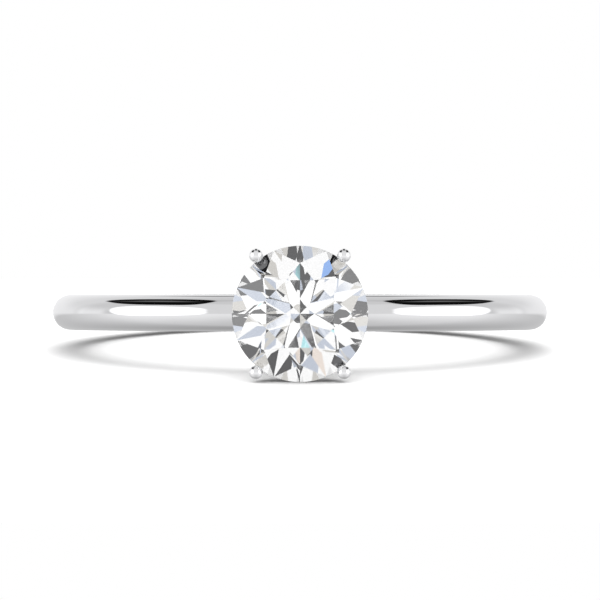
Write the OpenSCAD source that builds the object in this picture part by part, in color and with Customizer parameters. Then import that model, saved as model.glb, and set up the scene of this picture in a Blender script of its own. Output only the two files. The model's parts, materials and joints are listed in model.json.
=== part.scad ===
// Solitaire engagement ring: a slim half-round shank, a four-prong peg head
// built from wire, and one round brilliant stone.
//
// The origin is the centre of the finger hole. +Z runs along the finger hole's
// axis and the head stands out along -Y. The head is drawn in its own frame,
// whose z axis is the stone's axis and counts outwards from the finger hole's
// centre, and on_head() lays that frame along -Y.

/* [Finger hole] */
// Inside diameter of the ring
bore_d = 16.5; // [14:0.1:22]

/* [Shank] */
// Width of the band along the finger
shank_w = 1.4; // [1.2:0.1:2.4]
// Thickness of the band from the finger hole to the crest of its dome
shank_t = 1.6; // [1.2:0.1:2.4]
// Rounding of the two edges that touch the finger
inner_edge_r = 0.2; // [0.05:0.05:0.3]

/* [Stone] */
// Diameter of the stone across its girdle
stone_d = 5.2; // [4:0.1:8]
// Radius of the table's corners, from the stone's axis
table_corner_r = 1.39; // [1.3:0.01:1.5]
// Angle of the crown's kite facets to the girdle
crown_angle = 34.5; // [31:0.5:37]
// Angle of the pavilion's main facets to the girdle
pavilion_angle = 40.75; // [39.5:0.25:42]
// Thickness of the girdle at its thick points
girdle_t = 0.16; // [0.12:0.02:0.3]
// How far the star facets reach from the table's edge to the girdle
star_length = 0.5; // [0.4:0.05:0.6]
// How far the lower half facets reach from the girdle to the point
lower_half_length = 0.77; // [0.7:0.01:0.85]

/* [Head] */
// Height of the base collar above the band
base_h = 0.45; // [0.4:0.05:1]
// Height of the sloping shoulder that the prongs stand on
shoulder_h = 0.3; // [0.25:0.05:0.35]
// Width of the sloping shoulder
shoulder_w = 0.32; // [0.25:0.01:0.4]
// Room between neighbouring prongs where they stand on the shoulder
feet_gap = 0.08; // [0.04:0.01:0.2]
// Room between the stone's point and the top of the base
culet_gap = 0.2; // [0.1:0.05:0.6]
// Width and height of the solder fillet around the base
fillet = 0.09; // [0.04:0.01:0.14]

/* [Prongs] */
// Diameter of the prong wire
prong_d = 0.45; // [0.36:0.01:0.55]
// Diameter of the ball at each prong's tip
tip_d = 0.53; // [0.5:0.01:0.7]
// Angle of the prongs around the stone, from the line of the band
prong_azimuth = 53; // [45:1:60]
// Distance from the girdle out to the centre of each tip
tip_out = 0.19; // [0.14:0.01:0.24]
// Height of each tip's centre above the girdle's middle
tip_up = 0.2; // [0.15:0.01:0.28]
// Lean of the upper leg from the stone's axis
upper_lean = 12; // [6:1:16]
// Depth of the bend below the girdle's lower edge
bend_down = 0.54; // [0.4:0.01:0.8]
// Radius of the bend along the wire's centre line
bend_r = 1; // [0.6:0.1:1.4]
// Room between the stone and the seats cut for it
seat_gap = 0.01; // [0.005:0.005:0.03]

/* [Gallery rails] */
// Diameter of the rail wire
rail_d = 0.38; // [0.3:0.01:0.42]
// Room between the stone and the upper rail
upper_rail_gap = 0.05; // [0.03:0.01:0.08]
// Room between the stone and the lower rail
lower_rail_gap = 0.1; // [0.05:0.01:0.15]
// Depth of the upper rail's centre below the girdle's lower edge
upper_rail_down = 0.89; // [0.7:0.01:1.1]
// Height of the lower rail's centre above the base
lower_rail_up = 0.65; // [0.55:0.01:0.8]

/* [Peg] */
// Diameter of the peg that holds the head to the band
peg_d = 0.8; // [0.5:0.05:0.9]
// Depth of the peg's socket in the base
peg_socket = 0.2; // [0.1:0.05:0.3]
// Room around the peg in the band
peg_gap = 0.02; // [0.01:0.01:0.05]

/* [Hidden] */
$fn = 96;

metal = [0.86, 0.87, 0.89];
solder_metal = [0.78, 0.79, 0.81];
clear_stone = [0.82, 0.9, 0.97];

// band
bore_r = bore_d / 2;
outer_r = bore_r + shank_t;
dome_r = shank_w / 2;
dome_centre_r = outer_r - dome_r;

// heights along the stone's axis
base_top = outer_r + base_h;
culet_z = base_top + culet_gap;
stone_r = stone_d / 2;
girdle_low = culet_z + stone_r * tan(pavilion_angle);
girdle_high = girdle_low + girdle_t;
table_z = girdle_high + (stone_r - table_corner_r) * tan(crown_angle);

// facets: eight kites and eight mains lie half a step off the band's line
facet_step = 360 / 8;
main_azimuth = facet_step / 2;
half_azimuth = facet_step / 4;

// star facets end where two kites meet
table_flat_r = table_corner_r * cos(facet_step / 2);
star_r = table_flat_r + star_length * (stone_r - table_flat_r);
star_z = girdle_high + (stone_r - star_r * cos(facet_step / 2)) * tan(crown_angle);
star_angle = atan((table_z - star_z) / (star_r - table_flat_r));
upper_half_angle = atan((star_z - girdle_high) / ((stone_r - star_r) * cos(half_azimuth)));

// lower half facets end where two mains meet
lower_r = stone_r * (1 - lower_half_length);
lower_z = girdle_low - (stone_r - lower_r * cos(facet_step / 2)) * tan(pavilion_angle);
lower_half_angle = atan((girdle_low - lower_z) / ((stone_r - lower_r) * cos(half_azimuth)));

// Section of two facets above the girdle and two below it, which pass through
// [radius, girdle_high] and [radius, girdle_low]; they meet in a ridge outside
// the girdle, a lower point and, past the table, an upper edge
function facet_section(radius, upper_angle, lower_angle) =
    let (
        upper_slope = tan(upper_angle),
        lower_slope = tan(lower_angle),
        ridge = girdle_t / (upper_slope + lower_slope),
        crest_r = radius - (table_z - girdle_high) / upper_slope
    ) [
        [0, girdle_low - radius * lower_slope],
        [radius + ridge, girdle_low + ridge * lower_slope],
        [crest_r, table_z],
        [-crest_r, table_z],
        [-radius - ridge, girdle_low + ridge * lower_slope]
    ];

// Section of the table and two star facets, wide open below them
star_edge_z = star_z - (stone_d - star_r) * tan(star_angle);
star_section = [
    [-stone_d, culet_z],
    [stone_d, culet_z],
    [stone_d, star_edge_z],
    [table_flat_r, table_z],
    [-table_flat_r, table_z],
    [-stone_d, star_edge_z]
];
mains_section = facet_section(stone_r, crown_angle, pavilion_angle);
halves_section = facet_section(stone_r * cos(half_azimuth), upper_half_angle, lower_half_angle);

// prongs stand on the middle of the base's shoulder, just clear of each other
prong_r = prong_d / 2;
foot_r = (prong_r + feet_gap / 2) / min(cos(prong_azimuth), sin(prong_azimuth));
base_r = foot_r + shoulder_w / 2;

// prong centre line as [radius, height] points: tip, bend corner and foot,
// and the lengths of its legs, the lower one running on into the base
tip_r = tip_d / 2;
tip_point = [stone_r + tip_out, (girdle_low + girdle_high) / 2 + tip_up];
bend_z = girdle_low - bend_down;
bend_corner = [tip_point.x - (tip_point.y - bend_z) * tan(upper_lean), bend_z];
foot_point = [foot_r, base_top - shoulder_h / 2];
lower_lean = atan2(bend_corner.x - foot_point.x, bend_corner.y - foot_point.y);
bend_tangent = bend_r * tan((lower_lean - upper_lean) / 2);
bend_start = bend_corner + bend_tangent * [sin(upper_lean), cos(upper_lean)];
upper_leg = norm(tip_point - bend_start);
lower_leg = norm(bend_corner - foot_point) - bend_tangent + prong_r;

// rails lie close under the stone, and the prongs are notched for them
rail_r = rail_d / 2;
upper_rail_z = girdle_low - upper_rail_down;
lower_rail_z = base_top + lower_rail_up;
under_stone_angle = atan((girdle_low - lower_z) / (stone_r - lower_r));

peg_r = peg_d / 2;
peg_top = outer_r + peg_socket;

// Radius of a ring at height z whose centre line keeps the given room from the stone
function under_stone_r(z, room) =
    stone_r - (girdle_low - z - room / cos(under_stone_angle)) / tan(under_stone_angle);

// Lays the head's frame along -Y
module on_head() {
    rotate([90, 0, 0]) children();
}

// Band's cross-section: flat inside with rounded edges, full half-round outside
module band_section() {
    flat_w = shank_w - 2 * inner_edge_r;
    translate([bore_r, -flat_w / 2]) square([shank_t - dome_r, flat_w]);
    translate([bore_r + inner_edge_r, -dome_r])
        square([shank_t - dome_r - inner_edge_r, shank_w]);
    for (side = [-1, 1])
        translate([bore_r + inner_edge_r, side * flat_w / 2]) circle(r = inner_edge_r);
    translate([dome_centre_r, 0]) circle(r = dome_r);
}

module band() {
    rotate_extrude() band_section();
}

// Round rod along the stone's axis, from the middle of the finger hole outwards
module centre_rod(radius, top) {
    on_head() cylinder(r = radius, h = top);
}

// Base collar before the band and the peg's socket are cut from it
module base_blank() {
    rotate_extrude()
        polygon([
            [0, dome_centre_r],
            [base_r, dome_centre_r],
            [base_r, base_top - shoulder_h],
            [base_r - shoulder_w, base_top],
            [0, base_top]
        ]);
}

// One prong before its seat and notches are cut. It is drawn from the place
// where the upper leg meets the bend: ball and leg upwards, bend and leg down.
module prong_blank() {
    turn = lower_lean - upper_lean;
    translate([bend_start.x, 0, bend_start.y])
        rotate([0, upper_lean, 0]) {
            cylinder(r = prong_r, h = upper_leg);
            translate([0, 0, upper_leg]) sphere(r = tip_r);
            translate([-bend_r, 0, 0]) {
                rotate([90, 0, 0])
                    rotate_extrude(angle = turn, start = -turn)
                        translate([bend_r, 0]) circle(r = prong_r);
                rotate([0, turn, 0])
                    translate([bend_r, 0, -lower_leg])
                        cylinder(r = prong_r, h = lower_leg);
            }
        }
}

// Turned shape that holds the whole stone, as the bur that cuts the seats does
module seat_bur() {
    rotate_extrude()
        polygon([
            [0, culet_z - seat_gap],
            [lower_r + seat_gap, lower_z - seat_gap],
            [stone_r + seat_gap, girdle_low - seat_gap],
            [stone_r + seat_gap, girdle_high + seat_gap],
            [star_r + seat_gap, star_z + seat_gap],
            [table_corner_r + seat_gap, table_z + seat_gap],
            [0, table_z + seat_gap]
        ]);
}

// Ring of rail wire whose centre lies at height z, with the given gap to the stone
module rail(z, gap) {
    rotate_extrude()
        translate([under_stone_r(z, rail_r + gap), z]) circle(r = rail_r);
}

module lower_rail() {
    rail(lower_rail_z, lower_rail_gap);
}

module upper_rail() {
    rail(upper_rail_z, upper_rail_gap);
}

// Stone shape between pairs of opposite facets: a section pulled across the stone
module ground_pair(section) {
    rotate([90, 0, 0])
        linear_extrude(2 * stone_d, center = true) polygon(section);
}

module shank() {
    color(metal)
        difference() {
            band();
            centre_rod(peg_r + peg_gap, base_top);
        }
}

module setting_peg() {
    color(metal)
        difference() {
            centre_rod(peg_r, peg_top);
            cylinder(r = bore_r, h = 2 * shank_w, center = true);
        }
}

module head_base() {
    color(metal)
        difference() {
            on_head() base_blank();
            centre_rod(peg_r, peg_top);
            band();
        }
}

module head_solder() {
    color(solder_metal)
        difference() {
            intersection() {
                rotate_extrude()
                    translate([dome_centre_r, 0]) circle(r = dome_r + fillet);
                on_head()
                    translate([0, 0, dome_centre_r])
                        cylinder(r = base_r + fillet, h = 2 * dome_r);
            }
            centre_rod(base_r, base_top);
            band();
        }
}

module lower_gallery_rail() {
    color(metal) on_head() lower_rail();
}

module upper_gallery_rail() {
    color(metal) on_head() upper_rail();
}

// Prong with its stone seat, its rail notches and its foot fitted to the base
module prong(azimuth) {
    color(metal)
        on_head()
            difference() {
                rotate([0, 0, azimuth]) prong_blank();
                seat_bur();
                base_blank();
                lower_rail();
                upper_rail();
            }
}

module prong_upper_right() {
    prong(prong_azimuth);
}

module prong_upper_left() {
    prong(180 - prong_azimuth);
}

module prong_lower_left() {
    prong(180 + prong_azimuth);
}

module prong_lower_right() {
    prong(-prong_azimuth);
}

// Round brilliant: a round blank ground flat by pairs of opposite facets, which
// are eight kites and mains, eight stars, and sixteen upper and lower halves
module diamond() {
    color(clear_stone)
        on_head()
            intersection() {
                translate([0, 0, culet_z]) cylinder(r = stone_r, h = table_z - culet_z);
                intersection_for (k = [0:3])
                    rotate([0, 0, k * facet_step]) ground_pair(star_section);
                intersection_for (k = [0:3])
                    rotate([0, 0, main_azimuth + k * facet_step]) ground_pair(mains_section);
                intersection_for (k = [0:7])
                    rotate([0, 0, half_azimuth * (2 * k + 1)]) ground_pair(halves_section);
            }
}

shank();
setting_peg();
head_base();
head_solder();
lower_gallery_rail();
upper_gallery_rail();
prong_upper_right();
prong_upper_left();
prong_lower_left();
prong_lower_right();
diamond();
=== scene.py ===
import json

import bmesh
import bpy
import numpy as np
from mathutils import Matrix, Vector


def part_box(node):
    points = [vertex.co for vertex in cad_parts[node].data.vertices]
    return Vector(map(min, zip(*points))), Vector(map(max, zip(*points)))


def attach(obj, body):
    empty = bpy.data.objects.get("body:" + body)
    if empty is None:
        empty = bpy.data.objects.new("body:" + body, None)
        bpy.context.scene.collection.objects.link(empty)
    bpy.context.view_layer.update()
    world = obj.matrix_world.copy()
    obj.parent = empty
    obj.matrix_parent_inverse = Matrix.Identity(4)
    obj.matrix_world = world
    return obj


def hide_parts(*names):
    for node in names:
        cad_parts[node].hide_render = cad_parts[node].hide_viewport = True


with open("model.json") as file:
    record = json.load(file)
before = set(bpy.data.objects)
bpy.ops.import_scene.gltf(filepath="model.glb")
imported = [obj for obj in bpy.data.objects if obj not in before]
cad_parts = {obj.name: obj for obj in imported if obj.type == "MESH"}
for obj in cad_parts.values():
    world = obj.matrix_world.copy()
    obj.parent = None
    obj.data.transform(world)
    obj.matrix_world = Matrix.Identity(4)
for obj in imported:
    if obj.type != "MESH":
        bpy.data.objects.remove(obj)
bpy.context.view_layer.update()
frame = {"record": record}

# --- Shank -----------------------------------------------------------------
# The band is half-round wire of white gold, bent round, soldered shut, filed
# and polished. Its outside is a full half-round, its inside is flat with two
# eased edges, and a hole under the head takes the head's peg.

MM = 0.001
FULL_TURN = 2 * np.pi
SHARP_ANGLE = np.radians(32)


class Signal:
    """A shader socket that adds Math nodes as it is used in a sum."""

    def __init__(self, tree, socket):
        self.tree = tree
        self.socket = socket

    def _math(self, operation, *terms):
        return self.tree.add("ShaderNodeMath", {"operation": operation}, terms)

    def __add__(self, other):
        return self._math("ADD", self, other)

    def __radd__(self, other):
        return self._math("ADD", other, self)

    def __sub__(self, other):
        return self._math("SUBTRACT", self, other)

    def __rsub__(self, other):
        return self._math("SUBTRACT", other, self)

    def __mul__(self, other):
        return self._math("MULTIPLY", self, other)

    def __rmul__(self, other):
        return self._math("MULTIPLY", other, self)

    def __neg__(self):
        return self._math("MULTIPLY", self, -1.0)

    def __pow__(self, other):
        return self._math("POWER", self, other)

    def __abs__(self):
        return self._math("ABSOLUTE", self)

    def rise(self, low, high):
        """0 below low, 1 above high, and a smooth slope between them."""
        settings = {"interpolation_type": "SMOOTHSTEP"}
        limits = {"Value": self, "From Min": low, "From Max": high}
        return self.tree.add("ShaderNodeMapRange", settings, limits)

    def within(self, low, high, edge):
        """1 between low and high, falling to 0 over the width of edge outside them."""
        return self.rise(low - edge, low) * (1 - self.rise(high, high + edge))


class Shading:
    """The node tree of a material or a world, and the one way nodes are added to it."""

    def __init__(self, owner):
        owner.use_nodes = True
        self.nodes = owner.node_tree.nodes
        self.links = owner.node_tree.links
        self.nodes.clear()

    def add(self, kind, settings=None, inputs=(), output=0):
        """Adds a node, makes its settings, fills its sockets and returns one output."""
        node = self.nodes.new(kind)
        for name, value in (settings or {}).items():
            if name == "stops":
                set_stops(node.color_ramp, value)
            else:
                setattr(node, name, value)
        pairs = inputs.items() if isinstance(inputs, dict) else enumerate(inputs)
        for name, value in pairs:
            if isinstance(value, Signal):
                self.links.new(value.socket, node.inputs[name])
            else:
                node.inputs[name].default_value = value
        return Signal(self, node.outputs[output]) if len(node.outputs) else None


def set_stops(ramp, stops):
    """Gives a colour ramp its (position, colour) stops."""
    while len(ramp.elements) < len(stops):
        ramp.elements.new(1.0)
    for element, (position, colour) in zip(ramp.elements, stops):
        element.position = position
        element.color = colour


def cells(rows, columns, wrap_rows=False, wrap_columns=False):
    """Corner numbers of every quad of a (rows, columns) grid, as a (rows, columns, 4) array.

    A wrapped direction joins its last line to its first.
    """
    row = np.arange(rows if wrap_rows else rows - 1)
    column = np.arange(columns if wrap_columns else columns - 1)
    i, j = np.meshgrid(row, column, indexing="ij")
    corner_rows = np.stack([i, i + 1, i + 1, i], -1) % rows
    corner_columns = np.stack([j, j, j + 1, j + 1], -1) % columns
    return corner_rows * columns + corner_columns


def skin(name, points, faces):
    """A smooth piece from an array of points in millimetres and its faces' corner numbers."""
    mesh = bpy.data.meshes.new(name)
    mesh.from_pydata(points.reshape(-1, 3) * MM, [], faces.reshape(-1, 4).tolist())
    return finished(name, mesh)


def grid_skin(name, grid, wrap_rows=False):
    """A skin over one (rows, columns, 3) grid whose columns wrap round."""
    return skin(name, grid, cells(*grid.shape[:2], wrap_rows, wrap_columns=True))


def finished(name, mesh, smooth=True):
    """Closes a mesh's seams and poles, turns its faces outwards and links its object.

    Edges sharper than SHARP_ANGLE stay crisp where the rest is shaded smooth.
    """
    shell = bmesh.new()
    shell.from_mesh(mesh)
    bmesh.ops.remove_doubles(shell, verts=shell.verts, dist=1e-7)
    bmesh.ops.dissolve_degenerate(shell, edges=shell.edges, dist=1e-8)
    bmesh.ops.recalc_face_normals(shell, faces=shell.faces)
    if shell.calc_volume(signed=True) < 0:
        bmesh.ops.reverse_faces(shell, faces=shell.faces)
    shell.to_mesh(mesh)
    shell.free()
    mesh.polygons.foreach_set("use_smooth", np.full(len(mesh.polygons), smooth))
    if smooth:
        mesh.set_sharp_from_angle(angle=SHARP_ANGLE)
    piece = bpy.data.objects.new(name, mesh)
    bpy.context.scene.collection.objects.link(piece)
    return piece


def arc(centre, radius, start, end, steps):
    """Points on a circle about centre, from one angle to another in degrees."""
    angle = np.radians(np.linspace(start, end, steps + 1))
    return np.stack([centre[0] + radius * np.cos(angle), centre[1] + radius * np.sin(angle)], -1)


def fit(piece, node, material):
    """Puts a finished piece in the place of its CAD node, with its finish."""
    piece.data.materials.append(material)
    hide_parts(node)
    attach(piece, "root")


finger_hole = frame["record"]["mounts"][0]["dims"]
bore_r = finger_hole["r_mm"]
flat_w = finger_hole["length_mm"]
outer_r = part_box("shank")[1].y / MM
shank_w = 2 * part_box("shank")[1].z / MM
dome_r = shank_w / 2
dome_centre_r = outer_r - dome_r
edge_r = (shank_w - flat_w) / 2

SECTION_STEPS = 14
EDGE_STEPS = 8
SIDE_STEPS = 6


def band_section():
    """The band's outline as (radius, height) points: bore wall, eased edge, side, dome.

    The wall's half and the dome's 45 degrees beside its crest have
    SECTION_STEPS each, so that the hole's two mouths are cut from equal windows
    of the skin. The second result is the number of the crest's point.
    """
    eased = arc((bore_r + edge_r, flat_w / 2), edge_r, 180, 90, EDGE_STEPS)
    side = np.linspace([bore_r + edge_r, dome_r], [dome_centre_r, dome_r], SIDE_STEPS)[1:-1]
    dome = arc((dome_centre_r, 0), dome_r, 90, 0, 2 * SECTION_STEPS)
    wall = np.linspace([bore_r, 0], [bore_r, flat_w / 2], SECTION_STEPS + 1)[:-1]
    upper = np.concatenate([wall, eased, side, dome])
    lower = upper[-2:0:-1] * [1, -1]
    return np.concatenate([upper, lower]), len(upper) - 1


BAND_STEPS = 384
WINDOW_ROWS = 4
HOLE_EASE = 0.015
PEG_ROOM = 0.02
RING_SHARES = (0, 0.35, 0.65, 0.85, 1)
hole_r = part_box("setting_peg")[1].x / MM + PEG_ROOM


def wall_height(across, along):
    """Height of the bore's wall over a place: the root of its radius squared less across squared."""
    return np.sqrt(bore_r**2 - across**2) + 0 * along


def crest_height(across, along):
    """Height of the band's dome over a place.

    The dome's section is a circle, so its crest over along is the root of its
    radius squared less along squared; the crest is then turned round the bore.
    """
    crest = dome_centre_r + np.sqrt(np.maximum(dome_r**2 - along**2, 0))
    return np.sqrt(crest**2 - across**2)


def window_rim(column, side, columns):
    """Numbers of the grid points round a window about the head's row and the given column.

    side is 1 or -1, so that both windows are walked the same way round the peg.
    """
    across = np.arange(-SECTION_STEPS, SECTION_STEPS)
    down = np.arange(-WINDOW_ROWS, WINDOW_ROWS)
    row_offset = np.concatenate([0 * across - WINDOW_ROWS, down, 0 * across + WINDOW_ROWS, -down])
    column_offset = np.concatenate([across, 0 * down + SECTION_STEPS, -across, 0 * down - SECTION_STEPS])
    return (BAND_STEPS // 2 + row_offset) * columns + (column + side * column_offset) % columns


def mouth(rim, height, inward):
    """Rings from a window's rim to the drilled hole's eased edge, on the height surface.

    A ring's place is the rim's place moved part of the way to a circle at the
    same angle. The last ring has the hole's own radius and lies HOLE_EASE into
    the metal, which is up from the bore and down from the dome.
    """
    place = rim[:, [0, 2]]
    circle = place / np.linalg.norm(place, axis=1, keepdims=True)
    share = np.array(RING_SHARES)[:, None, None]
    rings = (1 - share) * place + share * (hole_r + 2 * HOLE_EASE) * circle
    edge = np.stack([(hole_r + HOLE_EASE) * circle, hole_r * circle])
    rings = np.concatenate([rings, edge])
    level = height(rings[..., 0], rings[..., 1])
    level[-1] += inward * HOLE_EASE
    rings = np.stack([rings[..., 0], -level, rings[..., 1]], -1)
    rings[0] = rim
    return rings


def drilled_band():
    """Points and faces of the band: its outline carried round, and the hole for the peg.

    The point at angle t is (radius sin t, -radius cos t, height). Two windows
    of the skin are left out, and a tube of rings joins them through the metal.
    """
    section, crest_column = band_section()
    columns = len(section)
    angle = np.linspace(-np.pi, np.pi, BAND_STEPS, endpoint=False)[:, None]
    radius, height = section[:, 0], np.broadcast_to(section[:, 1], (BAND_STEPS, columns))
    grid = np.stack([radius * np.sin(angle), -radius * np.cos(angle), height], -1)
    faces = cells(BAND_STEPS, columns, wrap_rows=True, wrap_columns=True)
    kept = np.ones(faces.shape[:2], bool)
    rows = np.arange(-WINDOW_ROWS, WINDOW_ROWS) + BAND_STEPS // 2
    for column in (0, crest_column):
        window = np.arange(column - SECTION_STEPS, column + SECTION_STEPS) % columns
        kept[rows[:, None], window] = False
    points = grid.reshape(-1, 3)
    inner = mouth(points[window_rim(0, 1, columns)], wall_height, 1)
    outer = mouth(points[window_rim(crest_column, -1, columns)], crest_height, -1)
    tube = np.concatenate([inner, outer[::-1]])
    tube_faces = cells(*tube.shape[:2], wrap_columns=True).reshape(-1, 4) + len(points)
    return np.concatenate([points, tube.reshape(-1, 3)]), np.concatenate([faces[kept], tube_faces])


MARK_ROUGHNESS = 0.02
WEAR_ROUGHNESS = 0.025
WEAR_TINT = 0.965
WEAR_SHARE = 0.35
WEAR_SPAN = (0.35, 0.75)
CLOUDS_PER_METRE = 700.0
MARK_DEPTH = 2e-6
MARK_STRENGTH = 0.04


def white_gold(name, tint, polish, marks_per_metre):
    """Polished, rhodium-plated white gold.

    tint is its colour, which for the wires is painted lighter to stand in
    for brighter light, and polish its roughness where it is brightest. The
    polishing marks have their own number per metre along X, Y and Z, and
    clouds of light wear are a little rougher and darker.
    """
    material = bpy.data.materials.new(name)
    shading = Shading(material)
    place = shading.add("ShaderNodeTexCoord", output="Object")
    stretched = shading.add("ShaderNodeMapping", inputs={"Vector": place, "Scale": marks_per_metre})
    marks = shading.add(
        "ShaderNodeTexNoise", inputs={"Vector": stretched, "Scale": 1.0, "Detail": 6.0, "Roughness": 0.6}
    )
    clouds = shading.add(
        "ShaderNodeTexNoise", inputs={"Vector": place, "Scale": CLOUDS_PER_METRE, "Detail": 3.0}
    )
    wear = clouds.rise(*WEAR_SPAN)
    roughness = polish + MARK_ROUGHNESS * marks + WEAR_ROUGHNESS * wear
    colour = shading.add(
        "ShaderNodeMix",
        {"data_type": "RGBA"},
        {"Factor": wear * WEAR_SHARE, 6: (*tint, 1), 7: (*(WEAR_TINT * np.array(tint)), 1)},
        output=2,
    )
    relief = {"Strength": MARK_STRENGTH, "Distance": MARK_DEPTH, "Height": marks}
    bump = shading.add("ShaderNodeBump", inputs=relief)
    metal = shading.add(
        "ShaderNodeBsdfPrincipled",
        inputs={"Base Color": colour, "Metallic": 1.0, "Roughness": roughness, "Normal": bump},
    )
    shading.add("ShaderNodeOutputMaterial", inputs={"Surface": metal})
    return material


BAND_TINT = (0.83, 0.83, 0.835)
BAND_POLISH = 0.02
BAND_MARKS = (9e3, 9e3, 4e4)
polished_gold = white_gold("polished_white_gold", BAND_TINT, BAND_POLISH, BAND_MARKS)
band = skin("polished_band", *drilled_band())
fit(band, "shank", polished_gold)

# --- Setting peg -----------------------------------------------------------
# A short round pin of the same gold. It drops from the head's collar through
# the band, is soldered there, and its end is filed flush with the finger hole.

AROUND_STEPS = 64
PEG_EASE = 0.02


def head_point(radius, azimuth, height):
    """Points in the head's own frame, with the stone's axis along -Y and azimuth 0 on +X."""
    places = np.broadcast_arrays(radius * np.cos(azimuth), -height, radius * np.sin(azimuth))
    return np.stack(places, -1)


peg_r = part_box("setting_peg")[1].x / MM
peg_top = -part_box("setting_peg")[0].y / MM
around = np.linspace(0, FULL_TURN, AROUND_STEPS, endpoint=False)


def peg_grid():
    """A rod whose lower end follows the finger hole's curve and whose edges are eased.

    The lower end's height is the root of the bore's radius squared less the
    square of the place across the band.
    """
    eased_r = peg_r - PEG_EASE
    radius = np.outer([0, peg_r / 2, eased_r, peg_r, peg_r, eased_r, 0], np.ones_like(around))
    height = np.full(radius.shape, peg_top)
    across = radius * np.cos(around)
    height[:4] = np.sqrt(bore_r**2 - across[:4] ** 2)
    height[3] += PEG_EASE
    height[4] -= PEG_EASE
    return head_point(radius, around, height)


peg = grid_skin("peg_pin", peg_grid())
fit(peg, "setting_peg", polished_gold)

# --- Head base -------------------------------------------------------------
# A turned collar of white gold. Its underside is filed to a saddle that sits
# on the band's dome, and the prongs stand on its sloping shoulder.

base_low, base_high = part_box("head_base")
base_r = base_high.x / MM
base_top = -base_low.y / MM
SHOULDER_H = 0.3
SHOULDER_W = 0.32
COLLAR_ROUNDING = 0.05
base_shoulder = [(base_r, base_top - SHOULDER_H), (base_r - SHOULDER_W, base_top)]


def dome_height(radius, azimuth):
    """Height of the band's dome at a place in the head's frame."""
    return crest_height(radius * np.cos(azimuth), radius * np.sin(azimuth))


def rounded(points, radius, steps=5):
    """Rounds the inner corners of a line of (radius, height) points.

    Each corner becomes a quadratic curve that leaves one side and joins the
    next at the given distance from the corner.
    """
    points = np.array(points, float)
    line = [points[:1]]
    share = np.linspace(0, 1, steps + 1)[:, None]
    for before, corner, after in zip(points[:-2], points[1:-1], points[2:]):
        start = corner + (before - corner) * radius / np.linalg.norm(before - corner)
        end = corner + (after - corner) * radius / np.linalg.norm(after - corner)
        line.append((1 - share) ** 2 * start + 2 * share * (1 - share) * corner + share**2 * end)
    line.append(points[-1:])
    return np.concatenate(line)


def base_grid():
    """The collar's outline turned round, with its lower rim and socket on the dome."""
    corners = [(0, base_top), base_shoulder[1], base_shoulder[0], (base_r, outer_r)]
    outline = rounded(corners, COLLAR_ROUNDING)
    radius = np.broadcast_to(outline[:, :1], (len(outline), AROUND_STEPS))
    height = np.broadcast_to(outline[:, 1:], (len(outline), AROUND_STEPS)).copy()
    height[-1] = dome_height(base_r, around)
    socket_r = np.outer([peg_r, peg_r, 0], np.ones_like(around))
    socket_top = np.full(AROUND_STEPS, peg_top)
    socket = np.stack([dome_height(peg_r, around), socket_top, socket_top])
    return head_point(np.concatenate([radius, socket_r]), around, np.concatenate([height, socket]))


base = grid_skin("saddle_collar", base_grid())
fit(base, "head_base", polished_gold)

# --- Head solder -----------------------------------------------------------
# White gold solder that ran round the collar's foot. It shows as a narrow
# hollow fillet, a shade greyer than the metal that it joins.

fillet = (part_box("head_solder")[1].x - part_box("head_base")[1].x) / MM
FILLET_ROWS = 9


def solder_grid():
    """Rows from the collar's wall down a hollow curve to the dome and back under it.

    The curve is quadratic: it leaves the wall a fillet's height above the foot,
    bends towards the foot, and ends on the dome a fillet's width away.
    """
    share = np.linspace(0, 1, FILLET_ROWS)[:, None]
    wall_z = dome_height(base_r, around) + fillet
    foot_z = dome_height(base_r, around)
    dome_z = dome_height(base_r + fillet, around)
    height = (1 - share) ** 2 * wall_z + 2 * share * (1 - share) * foot_z + share**2 * dome_z
    radius = base_r + fillet * share**2 + 0 * around
    radius = np.concatenate([radius, np.full((1, AROUND_STEPS), base_r)])
    height = np.concatenate([height, foot_z[None, :]])
    return head_point(radius, around, height)


SOLDER_TINT = (0.76, 0.76, 0.765)
SOLDER_POLISH = 0.06
SOLDER_MARKS = (3e4, 3e4, 3e4)
solder_gold = white_gold("white_gold_solder", SOLDER_TINT, SOLDER_POLISH, SOLDER_MARKS)
solder = grid_skin("solder_fillet", solder_grid(), wrap_rows=True)
fit(solder, "head_solder", solder_gold)

# --- Gallery rails ---------------------------------------------------------
# Two closed rings of round wire that tie the four prongs together, a small
# one near the collar and a larger one close under the stone.


WIRE_STEPS = 40
RING_STEPS = 160


def ring_of_wire(node, name):
    """A torus that fills its CAD node's box, whose axis is the stone's.

    It gives back the ring's radius, its height and the wire's radius.
    """
    low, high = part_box(node)
    wire_r = (high.y - low.y) / 2 / MM
    ring_r = high.x / MM - wire_r
    section = arc((ring_r, -(high.y + low.y) / 2 / MM), wire_r, 0, 360, WIRE_STEPS)[:-1]
    turn = np.linspace(0, FULL_TURN, RING_STEPS, endpoint=False)[:, None]
    ring = grid_skin(name, head_point(section[:, 0], turn, section[:, 1]), wrap_rows=True)
    fit(ring, node, polished_gold)
    return ring_r, section[:, 1].mean(), wire_r


lower_rail = ring_of_wire("lower_gallery_rail", "lower_wire_ring")
upper_rail = ring_of_wire("upper_gallery_rail", "upper_wire_ring")

# --- Prongs ----------------------------------------------------------------
# Four round wires. Each stands on the collar's shoulder, is let over both
# rails and soldered, bends upright under the girdle, is cut with a seat for
# the stone, and ends in a ball that is pushed over the stone's edge.

PRONG_AZIMUTH = np.radians(53)
PRONG_R = 0.225
TIP_R = 0.265
UPPER_LEAN = np.radians(12)
BEND_R = 1.0
BEND_DOWN = 0.54
SEAT_GAP = 0.01

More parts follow.
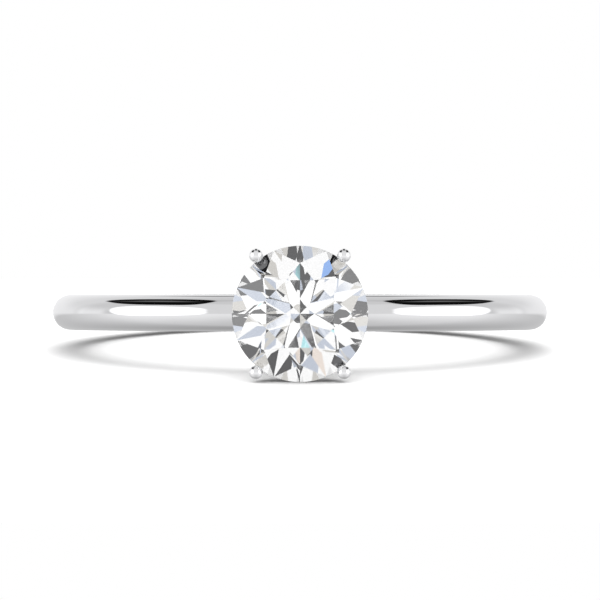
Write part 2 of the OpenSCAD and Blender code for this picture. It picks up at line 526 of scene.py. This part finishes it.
# The stone's cut, which the seats follow: its facets' angles and lengths.
CROWN_SLOPE = np.tan(np.radians(34.5))
PAVILION_SLOPE = np.tan(np.radians(40.75))
TABLE_CORNER_R = 1.39
STAR_LENGTH = 0.5
LOWER_HALF_LENGTH = 0.77
FACET_STEP = FULL_TURN / 8
stone_low, stone_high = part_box("diamond")
stone_r = stone_high.x / MM
culet_z = -stone_high.y / MM
table_z = -stone_low.y / MM
girdle_low = culet_z + stone_r * PAVILION_SLOPE
girdle_high = table_z - (stone_r - TABLE_CORNER_R) * CROWN_SLOPE
table_flat_r = TABLE_CORNER_R * np.cos(FACET_STEP / 2)
star_r = table_flat_r + STAR_LENGTH * (stone_r - table_flat_r)
star_z = girdle_high + (stone_r - star_r * np.cos(FACET_STEP / 2)) * CROWN_SLOPE
lower_r = stone_r * (1 - LOWER_HALF_LENGTH)
lower_z = girdle_low - (stone_r - lower_r * np.cos(FACET_STEP / 2)) * PAVILION_SLOPE

tip_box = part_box("prong_upper_right")
tip = np.array([
    (tip_box[1].x / MM - TIP_R) / np.cos(PRONG_AZIMUTH),
    -tip_box[0].y / MM - TIP_R,
])
foot = np.array([base_r - SHOULDER_W / 2, base_top - SHOULDER_H / 2])
bend_z = girdle_low - BEND_DOWN
bend = np.array([tip[0] - (tip[1] - bend_z) * np.tan(UPPER_LEAN), bend_z])
lower_lean = np.arctan2(*(bend - foot))
LEG_ROWS = 60
BEND_ROWS = 17
NECK_ROWS = 24
BALL_ROWS = 28
PRONG_AROUND = 48


def along(lean):
    """Unit step up a wire that leans from the stone's axis, as (radius, height)."""
    return np.array([np.sin(lean), np.cos(lean)])


def prong_rows():
    """Centres, leans and radii of a prong's rings, from its foot to the top of its ball.

    The centre line is a straight leg, an arc of BEND_R and a straight leg; the
    ring radius is the wire's, then the ball's as the root of its radius squared
    less the square of the distance from its centre.
    """
    tangent = BEND_R * np.tan((lower_lean - UPPER_LEAN) / 2)
    bend_low = bend - tangent * along(lower_lean)
    bend_high = bend + tangent * along(UPPER_LEAN)
    hub = bend_high + BEND_R * np.array([-np.cos(UPPER_LEAN), np.sin(UPPER_LEAN)])
    lean = np.linspace(lower_lean, UPPER_LEAN, BEND_ROWS)
    curve = hub + BEND_R * np.stack([np.cos(lean), -np.sin(lean)], -1)
    start = foot - PRONG_R * along(lower_lean)
    lower = start + np.linspace(0, 1, LEG_ROWS)[:-1, None] * (bend_low - start)
    neck = np.sqrt(TIP_R**2 - PRONG_R**2)
    upper = np.linspace(bend_high, tip - neck * along(UPPER_LEAN), NECK_ROWS)[1:]
    ball = np.linspace(np.arccos(-neck / TIP_R), 0, BALL_ROWS)[1:]
    ball_centres = tip + TIP_R * np.cos(ball)[:, None] * along(UPPER_LEAN)
    centres = np.concatenate([start[None], lower, curve, upper, ball_centres])
    leans = np.concatenate([
        np.full(len(lower) + 1, lower_lean), lean, np.full(len(upper) + len(ball), UPPER_LEAN)
    ])
    radii = np.full(len(centres), PRONG_R)
    radii[0] = 0
    radii[-len(ball):] = TIP_R * np.sin(ball)
    return centres, leans, radii


def pushed_out(radius, height, outline):
    """Moves (radius, height) places inside a turned convex outline to its nearest face.

    Each face's distance is the product of the place, less the face's corner,
    with the face's outward normal; the greatest of them decides.
    """
    outline = np.array(outline)
    run = np.diff(outline, axis=0)
    normal = np.stack([run[:, 1], -run[:, 0]], -1) / np.linalg.norm(run, axis=1)[:, None]
    place = np.stack([radius, height], -1)[..., None, :]
    depth = ((place - outline[:-1]) * normal).sum(-1)
    nearest = depth.argmax(-1)
    inside = np.minimum(depth.max(-1), 0)[..., None]
    moved = np.stack([radius, height], -1) - inside * normal[nearest]
    return moved[..., 0], moved[..., 1]


seat = np.array([
    (0, culet_z), (lower_r, lower_z), (stone_r, girdle_low), (stone_r, girdle_high),
    (star_r, star_z), (TABLE_CORNER_R, table_z), (0, table_z),
])
seat[1:-1, 0] += SEAT_GAP
seat[:, 1] += SEAT_GAP * np.sign(seat[:, 1] - (girdle_low + girdle_high) / 2)
FILLET_REACH = 0.16
FILLET_STEPS = 12
FILLET_PACE = 0.6


def soldered(points, outward):
    """Swells points on a wire along outward into a smooth fillet with both rails.

    The blended distance is the smaller of the wire's and the rail's, less a
    quarter of the reach where the two are equal; a few steps find its zero.
    """
    lift = np.zeros(points.shape[:2])
    for _ in range(FILLET_STEPS):
        moved = points + lift[..., None] * outward
        radius, height = np.hypot(moved[..., 0], moved[..., 2]), -moved[..., 1]
        blend = lift.copy()
        for ring_r, ring_z, wire_r in (lower_rail, upper_rail):
            rail = np.hypot(radius - ring_r, height - ring_z) - wire_r
            overlap = np.maximum(FILLET_REACH - abs(rail - lift), 0) / FILLET_REACH
            joined = np.minimum(rail, lift) - overlap**2 * FILLET_REACH / 4
            blend = np.where(rail > -0.5 * wire_r, np.minimum(blend, joined), blend)
        lift = np.clip(lift - FILLET_PACE * blend, 0, FILLET_REACH / 2)
    return points + lift[..., None] * outward


def prong_grid(azimuth):
    """A prong's rings set out at its azimuth, then fitted to rails, collar and stone."""
    centres, leans, radii = prong_rows()
    around_wire = np.linspace(0, FULL_TURN, PRONG_AROUND, endpoint=False)
    out = radii[:, None] * np.cos(around_wire)
    sideways = radii[:, None] * np.sin(around_wire)
    radius = centres[:, :1] + out * np.cos(leans)[:, None]
    height = centres[:, 1:] - out * np.sin(leans)[:, None]
    cos, sin = np.cos(azimuth), np.sin(azimuth)
    points = np.stack([radius * cos - sideways * sin, -height, radius * sin + sideways * cos], -1)
    axis = np.stack([centres[:, 0] * cos, -centres[:, 1], centres[:, 0] * sin], -1)[:, None]
    outward = points - axis
    outward /= np.maximum(np.linalg.norm(outward, axis=-1, keepdims=True), 1e-9)
    points = soldered(points, outward)
    turn = np.arctan2(points[..., 2], points[..., 0])
    radius, height = np.hypot(points[..., 0], points[..., 2]), -points[..., 1]
    radius, height = pushed_out(radius, height, seat)
    collar = [(base_r, dome_centre_r), *base_shoulder, (0, base_top)]
    radius, height = pushed_out(radius, height, collar)
    return head_point(radius, turn, height)


# The wires are the band's white gold with a lighter tint: painted light, a lit copy of the same metal
# that makes the prongs and their balls look brighter.
LIT_WIRE_TINT = (0.95, 0.95, 0.955)
WIRE_POLISH = 0.035
WIRE_MARKS = (2e4, 2e4, 2e4)
wire_gold = white_gold("polished_gold_wire", LIT_WIRE_TINT, WIRE_POLISH, WIRE_MARKS)
PRONGS = {
    "prong_upper_right": PRONG_AZIMUTH,
    "prong_upper_left": np.pi - PRONG_AZIMUTH,
    "prong_lower_left": np.pi + PRONG_AZIMUTH,
    "prong_lower_right": -PRONG_AZIMUTH,
}
for node, azimuth in PRONGS.items():
    wire = grid_skin(node.replace("prong", "claw"), prong_grid(azimuth))
    fit(wire, node, wire_gold)

# --- Diamond ---------------------------------------------------------------
# A colourless round brilliant. Its crown has a table, eight stars, eight kites
# and sixteen upper halves, its pavilion eight mains and sixteen lower halves,
# and a thin ground girdle runs between them.

GIRDLE_STEPS = 8


def facet_ring(radius, height, offset):
    """Eight corners of the stone at one radius and height, from an azimuth offset."""
    azimuth = FACET_STEP * np.arange(8) + offset
    return head_point(np.full(8, radius), azimuth, np.full(8, height))


def girdle_edge(height, slope):
    """The scalloped edge where the half facets meet the round girdle.

    Between two of its sixteen high corners the edge lies on a facet's plane:
    its height leaves the corner's by the slope times how far the round bulges
    past the chord.
    """
    count = 16 * GIRDLE_STEPS
    azimuth = FULL_TURN * np.arange(count) / count + FACET_STEP / 2
    from_middle = (azimuth - FACET_STEP / 4) % (FACET_STEP / 2)
    from_middle = np.minimum(from_middle, FACET_STEP / 2 - from_middle)
    bulge = stone_r * (np.cos(from_middle) - np.cos(FACET_STEP / 4))
    return head_point(np.full(count, stone_r), azimuth, height - slope * bulge)


upper_half_slope = (star_z - girdle_high) / ((stone_r - star_r) * np.cos(FACET_STEP / 4))
lower_half_slope = (girdle_low - lower_z) / ((stone_r - lower_r) * np.cos(FACET_STEP / 4))


def brilliant_mesh():
    """Corner rings of the stone and its facets as polygons on them."""
    rings = [
        facet_ring(TABLE_CORNER_R, table_z, FACET_STEP / 2),
        facet_ring(star_r, star_z, 0.0),
        girdle_edge(girdle_high, upper_half_slope),
        girdle_edge(girdle_low, -lower_half_slope),
        facet_ring(lower_r, lower_z, 0.0),
        head_point(np.zeros(1), np.zeros(1), np.array([culet_z])),
    ]
    first = np.cumsum([0] + [len(ring) for ring in rings])
    table, star, high, low, lower, culet = first[:6]
    facets = [[table + k for k in range(8)]]
    count = 16 * GIRDLE_STEPS
    for k in range(8):
        after = (k + 1) % 8
        middle = 2 * k * GIRDLE_STEPS
        side = [(middle + d * GIRDLE_STEPS) % count for d in (-1, 0, 1)]
        facets.append([table + k, table + (k - 1) % 8, star + k])
        facets.append([table + k, star + k, high + side[1], star + after])
        facets.append([culet, lower + after, low + side[1], lower + k])
        for begin, star_k in ((side[0], k), (side[1], after)):
            edge = [(begin + d) % count for d in range(GIRDLE_STEPS + 1)]
            facets.append([star + star_k] + [high + e for e in edge])
            facets.append([lower + star_k] + [low + e for e in reversed(edge)])
    for e in range(count):
        facets.append([high + e, low + e, low + (e + 1) % count, high + (e + 1) % count])
    mesh = bpy.data.meshes.new("brilliant")
    mesh.from_pydata(np.concatenate(rings) * MM, [], facets)
    return mesh


DIAMOND_IOR = 2.417
GIRDLE_SKIN = (-0.006, -0.002)
GRAINS_PER_METRE = 3e4
GROUND_ROUGHNESS = 0.12
GRAIN_ROUGHNESS = 0.2


def clear_diamond():
    """Clear stone of diamond's index, polished on its facets and ground on its girdle."""
    material = bpy.data.materials.new("clear_diamond")
    shading = Shading(material)
    place = shading.add("ShaderNodeTexCoord", output="Object")
    split = shading.add("ShaderNodeSeparateXYZ", inputs={"Vector": place}).socket.node.outputs
    across, along_z = (Signal(shading, split[name]) for name in "XZ")
    radius = (across * across + along_z * along_z) ** 0.5
    girdle = radius.rise(*(np.array(GIRDLE_SKIN) * MM + stone_r * MM))
    grain = shading.add(
        "ShaderNodeTexNoise", inputs={"Vector": place, "Scale": GRAINS_PER_METRE, "Detail": 2.0}
    )
    roughness = girdle * (GROUND_ROUGHNESS + GRAIN_ROUGHNESS * grain)
    stone = shading.add(
        "ShaderNodeBsdfPrincipled",
        inputs={
            "Base Color": (1.0, 1.0, 1.0, 1.0),
            "Roughness": roughness,
            "IOR": DIAMOND_IOR,
            "Transmission Weight": 1.0,
        },
    )
    shading.add("ShaderNodeOutputMaterial", inputs={"Surface": stone})
    return material


stone = finished("round_brilliant", brilliant_mesh(), smooth=False)
fit(stone, "diamond", clear_diamond())

# --- Stage -----------------------------------------------------------------
# The ring lies on its side on a pale floor: the stone's girdle and the back of
# the band touch it, so the floor slopes a little in the ring's own frame.

FLOOR_REACH = 45.0
PAPER_GREY = 0.9
girdle_y = -(girdle_low + girdle_high) / 2


def resting_slope():
    """Slope of the floor that touches the girdle's lowest point and the band's back edge.

    The band's back edge is the lower eased dome, a circle of dome_r about
    (dome_centre_r, 0), so the floor is that circle's tangent through the girdle.
    """
    run = dome_centre_r - girdle_y
    drop = stone_r
    far = np.hypot(run, drop)
    return np.arctan2(drop, run) - np.arcsin(dome_r / far)


slope = resting_slope()
reach = np.array([-FLOOR_REACH, FLOOR_REACH])
floor_y = girdle_y + reach
floor_z = -stone_r + np.tan(slope) * reach
corners = np.array([[x, y, z] for y, z in zip(floor_y, floor_z) for x in reach])
floor_mesh = bpy.data.meshes.new("floor")
floor_mesh.from_pydata(corners * MM, [], [[0, 1, 3, 2]])
floor = bpy.data.objects.new("floor", floor_mesh)
bpy.context.scene.collection.objects.link(floor)
paper = bpy.data.materials.new("white_paper")
shading = Shading(paper)
matt = shading.add("ShaderNodeBsdfDiffuse", inputs={"Color": (*3 * (PAPER_GREY,), 1.0)})
shading.add("ShaderNodeOutputMaterial", inputs={"Surface": matt})
floor_mesh.materials.append(paper)
# Neither the metal nor the stone mirrors the floor: the tent below does for it.
floor.visible_glossy = False
floor.visible_transmission = False

# --- Light -----------------------------------------------------------------
# A white tent: pale grey all round, a large soft box at each side of the
# stone, a black card above each box, a black strip overhead that narrows to
# the back, and a small dark strip behind. A round lamp makes the shadows.

world = bpy.data.worlds.new("light_tent")
bpy.context.scene.world = world
shading = Shading(world)
ray = shading.add("ShaderNodeTexCoord", output="Generated")
split = shading.add("ShaderNodeSeparateXYZ", inputs={"Vector": ray}).socket.node.outputs
x, y, z = (Signal(shading, split[name]) for name in "XYZ")
TO_DEGREES = 180 / np.pi
elevation = shading.add("ShaderNodeMath", {"operation": "ARCSINE"}, (z,)) * TO_DEGREES
side_azimuth = shading.add("ShaderNodeMath", {"operation": "ARCTAN2"}, (abs(x), -y)) * TO_DEGREES


def oval(first, second, centre, along, across, rim, power=2.0):
    """1 inside a leaning oval of two of the ray's components, 0 outside, soft over its rim.

    along and across are the oval's two half axes. A place's offset from the
    centre is split into shares of them, and its distance is the root of the
    summed powers of the shares. A power above 2 squares the oval's ends.
    """
    shares = np.linalg.inv(np.array([along, across]).T)
    offset = (first - centre[0], second - centre[1])
    parts = (abs(row[0] * offset[0] + row[1] * offset[1]) for row in shares)
    distance = sum((part**power for part in parts), 0.0) ** (1 / power)
    return 1 - distance.rise(1 - rim, 1)


# The black cards, strips and soft boxes, by the ray's components. A faint sheen
# runs along each card's middle. A pair of numbers is where a mask rises from 0
# to 1, and a triple is where it starts and ends and how soft its ends are.
CARD = {"centre": (0.545, 0.17), "along": (0.103, 0.311), "across": (-0.19, 0.275)}
SHEEN = {"centre": (0.53, 0.23), "along": (0.1, 0.3), "across": (-0.07, 0.1)}
SOFT_BOX = {"centre": (-0.26, 0.18), "along": (0.455, -0.027), "across": (0.09, 0.41)}
OVERHEAD = (0.3, 0.4)
STRIP_LENGTH = (0.05, 0.8, 0.04)
STRIP_SPREAD = 0.29
STRIP_RIM = 0.03
BACK_STRIP_HEIGHT = (0.5, 0.7, 0.04)
BACK_STRIP_START = (0.58, 0.66)
BACK_STRIP_SIDE = (0.11, 0.16)
overhead = z.rise(*OVERHEAD)
card = oval(abs(x), y, **CARD, rim=0.07, power=2.6) * overhead
sheen = oval(abs(x), y, **SHEEN, rim=0.95)
soft_box = oval(y, z, **SOFT_BOX, rim=0.08, power=2.8)
beyond_strip = abs(x) - STRIP_SPREAD * (1 - y)
strip = y.within(*STRIP_LENGTH) * (1 - beyond_strip.rise(-STRIP_RIM, 0.0)) * overhead
back_strip = z.within(*BACK_STRIP_HEIGHT) * y.rise(*BACK_STRIP_START)
back_strip = back_strip * (1 - abs(x).rise(*BACK_STRIP_SIDE))

# The tent's greys. Spans are degrees of azimuth from the stone's side, or of
# elevation. The wall is duller just behind the ring's sides and high up, and
# brighter low down behind. Below the floor's level the tent is brightest at the
# sides, and darkens to the back and downwards.
WALL_GREY = 0.8
SIDE_DULL = 0.1
SIDE_SPAN = (92, 118, 18)
HIGH_DULL = 0.12
HIGH_SPAN = (58, 76, 6)
LOW_SPAN = (2, 26)
QUARTER_GLOW = 0.25
QUARTER_SPAN = (108, 122, 8)
REAR_GLOW = 0.12
REAR_SPAN = (118, 135)
BACK_GLOW = 0.08
BACK_REACH = (0.7, 0.9)
BACK_HEIGHT = (0, 0.3)
BELOW_GREY = 0.94
BELOW_GLOW = 0.08
BELOW_GLOW_SPAN = (60, 85, 30)
BELOW_DULL = 0.33
BELOW_DULL_SPAN = (75, 165)
DEEP_DULL = 0.4
DEEP_SPAN = (0, 80)
HORIZON = (-6, 0)
low = 1 - elevation.rise(*LOW_SPAN)
wall = (WALL_GREY - SIDE_DULL * side_azimuth.within(*SIDE_SPAN)) * (
    1 - HIGH_DULL * elevation.within(*HIGH_SPAN)
)
wall = wall + QUARTER_GLOW * side_azimuth.within(*QUARTER_SPAN) * low
wall = wall + REAR_GLOW * side_azimuth.rise(*REAR_SPAN) * low
wall = wall + BACK_GLOW * y.rise(*BACK_REACH) * z.rise(*BACK_HEIGHT)
below = BELOW_GREY + BELOW_GLOW * side_azimuth.within(*BELOW_GLOW_SPAN)
below = below - BELOW_DULL * side_azimuth.rise(*BELOW_DULL_SPAN)
below = below * (1 - DEEP_DULL * (-elevation).rise(*DEEP_SPAN))
above_floor = elevation.rise(*HORIZON)

SOFT_BOX_LIGHT = 0.6
CARD_BLACK = 0.995
STRIP_BLACK = 0.95
BACK_STRIP_BLACK = 0.6
SHEEN_GREY = 0.17
tent = below * (1 - above_floor) + wall * above_floor + soft_box * SOFT_BOX_LIGHT
tent = tent * (1 - CARD_BLACK * card) * (1 - STRIP_BLACK * strip)
tent = tent * (1 - BACK_STRIP_BLACK * back_strip) + SHEEN_GREY * card * sheen


def blend(base, top, share):
    """Mixes two colours, each a link or a set of numbers, by a link's share of the second."""
    tops = top if isinstance(top, Signal) else (*top, 1)
    bases = base if isinstance(base, Signal) else (*base, 1)
    colours = {"Factor": share, 6: bases, 7: tops}
    return shading.add("ShaderNodeMix", {"data_type": "RGBA"}, colours, output=2)


# What the stone sees: a bright tent, and cards that stand round the lens on a
# spiral, as seeds do in a sunflower. Card k stands SPIRAL_START and k times
# SPIRAL_TURN degrees round the lens, and SPIRAL_STEP times the root of k away
# from it. A dark card has a thin coloured rim, because diamond splits the light
# at each edge.
BLACK, COOL, WARM = (0.02, 0.02, 0.022), (0.62, 0.68, 0.8), (0.74, 0.72, 0.68)
SKY, SEA, SAND = (0.3, 0.55, 1.1), (0.55, 1.05, 1.12), (1.05, 0.93, 0.84)
SHADES = (BLACK, COOL, BLACK, WARM)
CARDS = 16
SPIRAL_START = 24
SPIRAL_TURN = 137.5
SPIRAL_STEP = 13
CARD_REACH = 8.5
REACH_GROWTH = 0.35
RIM = 0.6
CARD_EDGE = 0.2
RIM_EDGE = 1e-4
GEM_TENT_LIGHT = 1.25
gem_tent = 3 * (GEM_TENT_LIGHT,)
for number in range(1, CARDS + 1):
    turn = np.radians(SPIRAL_START + number * SPIRAL_TURN)
    away = np.radians(SPIRAL_STEP * np.sqrt(number))
    reach = CARD_REACH + REACH_GROWTH * number
    shade = SHADES[number % len(SHADES)]
    heading = (np.sin(away) * np.cos(turn), -np.cos(away), np.sin(away) * np.sin(turn))
    facing = shading.add("ShaderNodeVectorMath", {"operation": "DOT_PRODUCT"}, (ray, heading), output=1)
    rim, outer, inner = (np.cos(np.radians(reach + wide)) for wide in (RIM, CARD_EDGE, 0))
    if shade is BLACK:
        tint = (SKY, SEA, SAND)[number % 3]
        gem_tent = blend(gem_tent, tint, facing.rise(rim, rim + RIM_EDGE))
    gem_tent = blend(gem_tent, shade, facing.rise(outer, inner))

# Each kind of ray sees its own surroundings: the camera plain white, a ray that
# has been through the stone the gem tent, one that has left the matt floor an
# even light, and any other, such as a reflection in the metal, the gold tent.
WHITE = (1.0, 1.0, 1.0)
FLOOR_LIGHT = (0.32, 0.32, 0.32)
TENT_BLUE = 1.01
paths = shading.add("ShaderNodeLightPath").socket.node.outputs
seen, through, scattered = (
    Signal(shading, paths[name]) for name in ("Is Camera Ray", "Transmission Depth", "Diffuse Depth")
)
gold_tent = shading.add("ShaderNodeCombineColor", inputs=(tent, tent, tent * TENT_BLUE))
lit = blend(blend(gold_tent, gem_tent, through), WHITE, seen)
lit = blend(lit, FLOOR_LIGHT, scattered)
background = shading.add("ShaderNodeBackground", inputs={"Color": lit})
shading.add("ShaderNodeOutputWorld", inputs={"Surface": background})
bpy.context.scene.view_settings.view_transform = "Standard"

LAMP_RISE = 150.0
LAMP_RADIUS = 250.0
LAMP_WATTS = 1.15
lamp_data = bpy.data.lights.new("round_light", "AREA")
lamp_data.shape = "DISK"
lamp_data.size = 2 * LAMP_RADIUS * MM
lamp_data.energy = LAMP_WATTS
lamp = bpy.data.objects.new("round_light", lamp_data)
lamp.rotation_euler = (slope, 0, 0)
lamp.location = Vector((0, -np.sin(slope), np.cos(slope))) * LAMP_RISE * MM
lamp.visible_camera = False
lamp.visible_glossy = False
lamp.visible_transmission = False
bpy.context.scene.collection.objects.link(lamp)

# --- Camera ----------------------------------------------------------------
# A long lens looks straight at the stone, level with the band.

CAMERA_DISTANCE = 300.0
CAMERA_RISE = np.radians(0.27)
FRAME_WIDTH = 23.92
AIM_Z = 0.49
SENSOR = 36.0
CLIP_START = 10.0
camera = bpy.data.objects.new("camera", bpy.data.cameras.new("camera"))
camera.data.sensor_width = SENSOR
camera.data.lens = SENSOR * CAMERA_DISTANCE / FRAME_WIDTH
camera.data.clip_start = CLIP_START * MM
camera.location = Vector((0, -np.cos(CAMERA_RISE), np.sin(CAMERA_RISE))) * CAMERA_DISTANCE * MM
aim = Vector((0, 0, AIM_Z * MM)) - camera.location
camera.rotation_euler = aim.to_track_quat("-Z", "Y").to_euler()
bpy.context.scene.collection.objects.link(camera)
bpy.context.scene.camera = camera
